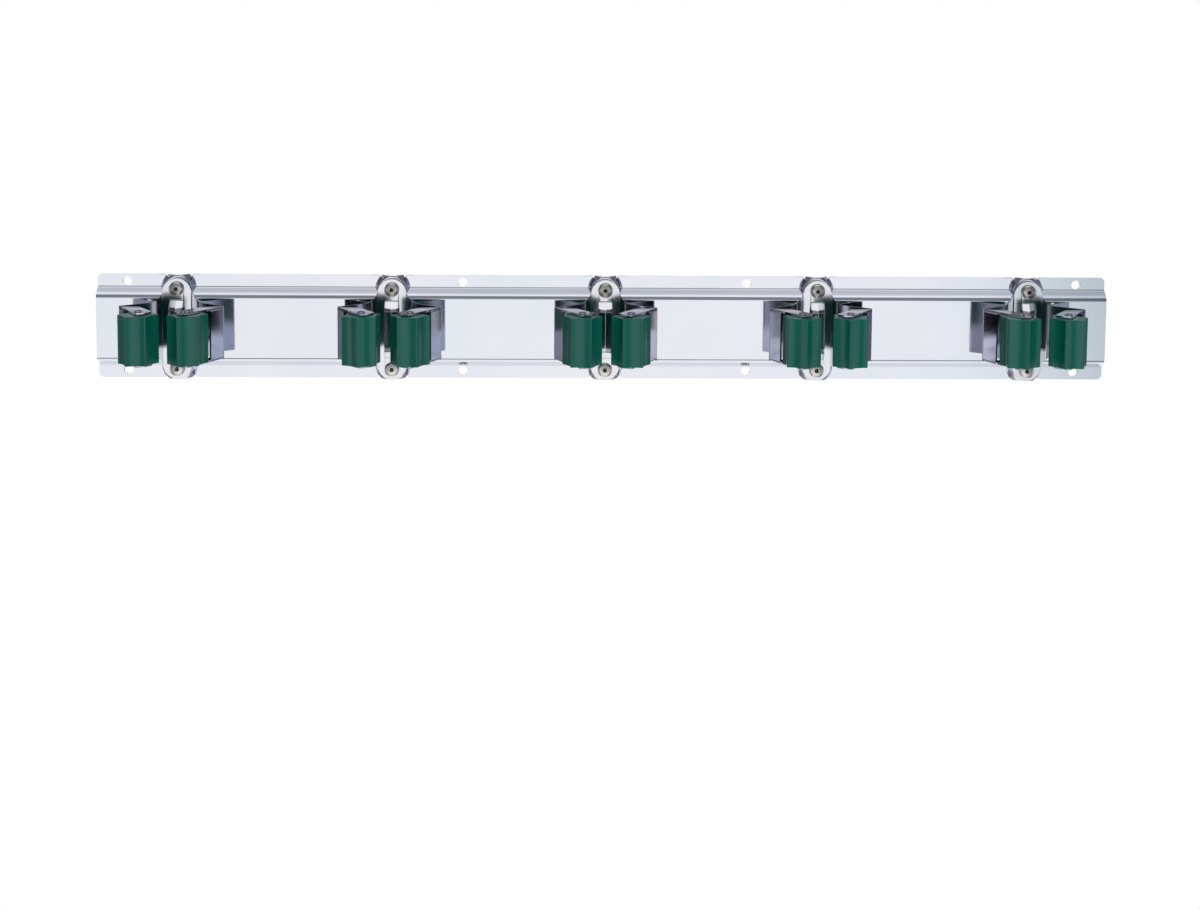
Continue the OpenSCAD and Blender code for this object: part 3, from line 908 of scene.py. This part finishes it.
# What the plating mirrors: white table and softbox in front, a dark room behind, grey walls at the sides
direction = add(tree, "ShaderNodeTexCoord").outputs["Generated"]
way = add(tree, "ShaderNodeSeparateXYZ", links={"Vector": direction})
sideways, backward, upward = way.outputs
height, span = [
    add(tree, "ShaderNodeMath", {"operation": "MULTIPLY_ADD"}, {1: 0.5, 2: 0.5}, {0: part}).outputs[0]
    for part in (upward, sideways)]
front_height = add(tree, "ShaderNodeValToRGB", links={"Fac": height}, stops=[
    (0.000, .97, .97, .98), (0.058, .97, .97, .98), (0.068, .22, .22, .24), (0.125, .22, .22, .24),
    (0.140, 1.0, 1.0, 1.01), (0.430, 1.0, 1.0, 1.01), (0.458, .84, .85, .88), (0.500, .42, .44, .48),
    (0.540, .23, .24, .27), (0.780, .22, .23, .26), (0.820, .45, .46, .50), (0.870, 1.0, 1.0, 1.02),
    (0.935, 1.0, 1.0, 1.02), (0.970, .78, .79, .83), (1.000, .62, .63, .67)])
front_width = add(tree, "ShaderNodeValToRGB", links={"Fac": span}, stops=[
    (0.000, .80, .82, .90), (0.030, .90, .93, 1.05), (0.050, .95, .97, 1.05), (0.075, .55, .55, .61),
    (0.095, .33, .33, .37), (0.135, .22, .22, .24), (0.250, .16, .16, .18), (0.340, .97, .97, .98),
    (0.500, 1.0, 1.0, 1.0), (0.630, .96, .98, .99), (0.668, .62, .69, .71), (0.750, .16, .16, .18),
    (0.850, .12, .11, .15), (0.866, .60, .53, .60), (0.880, .99, .88, .97), (0.908, .92, .86, .97),
    (0.928, .50, .56, .70), (0.965, .75, .80, .92), (1.000, .60, .62, .70)])
front = add(tree, "ShaderNodeMix", {"data_type": "RGBA", "blend_type": "MULTIPLY"}, {0: 1.0},
            {6: front_height.outputs["Color"], 7: front_width.outputs["Color"]}).outputs[2]
back = add(tree, "ShaderNodeValToRGB", links={"Fac": height}, stops=[
    (0.0, 1.0, 1.0, 1.02), (0.060, 1.0, 1.0, 1.02), (0.15, .30, .30, .32), (0.30, .18, .18, .21),
    (0.47, .16, .16, .19), (0.53, .72, .68, .78), (0.58, .88, .84, .95), (0.64, .66, .62, .72),
    (0.75, .14, .14, .17), (0.95, .12, .12, .15), (1.0, .50, .51, .56)])
turn_back = add(tree, "ShaderNodeMapRange", {"interpolation_type": "SMOOTHSTEP"},
                {"From Min": -TURN_BACK, "From Max": TURN_BACK}, {"Value": backward})
mirrored = add(tree, "ShaderNodeMix", {"data_type": "RGBA"},
               links={0: turn_back.outputs["Result"], 6: front, 7: back.outputs["Color"]}).outputs[2]
white = add(tree, "ShaderNodeBackground", values={"Color": (1, 1, 1, 1), "Strength": 1.0})
plain = add(tree, "ShaderNodeBackground", values={"Color": (1, 1, 1, 1), "Strength": ROOM_LIGHT})
studio = add(tree, "ShaderNodeBackground", values={"Strength": 1.0}, links={"Color": mirrored})
lit = add(tree, "ShaderNodeMixShader",
          links={0: path.outputs["Is Glossy Ray"], 1: plain.outputs[0], 2: studio.outputs[0]})
mix = add(tree, "ShaderNodeMixShader", links={0: seen, 1: lit.outputs[0], 2: white.outputs[0]})
add(tree, "ShaderNodeOutputWorld", links={"Surface": mix.outputs[0]})

# Pale matt floor, which shows plain white to the camera and isn't mirrored
bpy.ops.mesh.primitive_plane_add(size=FLOOR_SIZE, location=(0, 0, FLOOR_Z))
floor = bpy.context.object
floor.name = "floor"
mat, tree, shader = material("pale_floor")
shader.inputs["Base Color"].default_value = linear("#F2F2F2")
shader.inputs["Roughness"].default_value = 0.9
path = add(tree, "ShaderNodeLightPath")
seen = seen_directly(tree, path)
glow = add(tree, "ShaderNodeEmission", values={"Color": (1, 1, 1, 1), "Strength": 1.0})
mix = add(tree, "ShaderNodeMixShader", links={0: seen, 1: shader.outputs[0], 2: glow.outputs[0]})
tree.links.new(mix.outputs[0], tree.nodes["Material Output"].inputs["Surface"])
floor.data.materials.append(mat)
floor.visible_glossy = False


def soft_light(name, place, aim, width, height, power):
    """A softbox of a width and height in metres, aimed at a point and not mirrored."""
    lamp = bpy.data.lights.new(name, "AREA")
    lamp.shape = "RECTANGLE"
    lamp.size, lamp.size_y, lamp.energy = width, height, power
    obj = bpy.data.objects.new(name, lamp)
    obj.location = place
    obj.rotation_euler = (Vector(aim) - Vector(place)).to_track_quat("-Z", "Y").to_euler()
    obj.visible_glossy = False
    scene.collection.objects.link(obj)
    return obj


soft_light("key_softbox", (0.45, -1.6, 0.9), (0, 0, 0), 1.0, 0.8, 23)
soft_light("top_softbox", (0.0, -0.5, 1.3), (0, 0, 0), 1.6, 0.5, 8)

scene.view_settings.view_transform = "Standard"
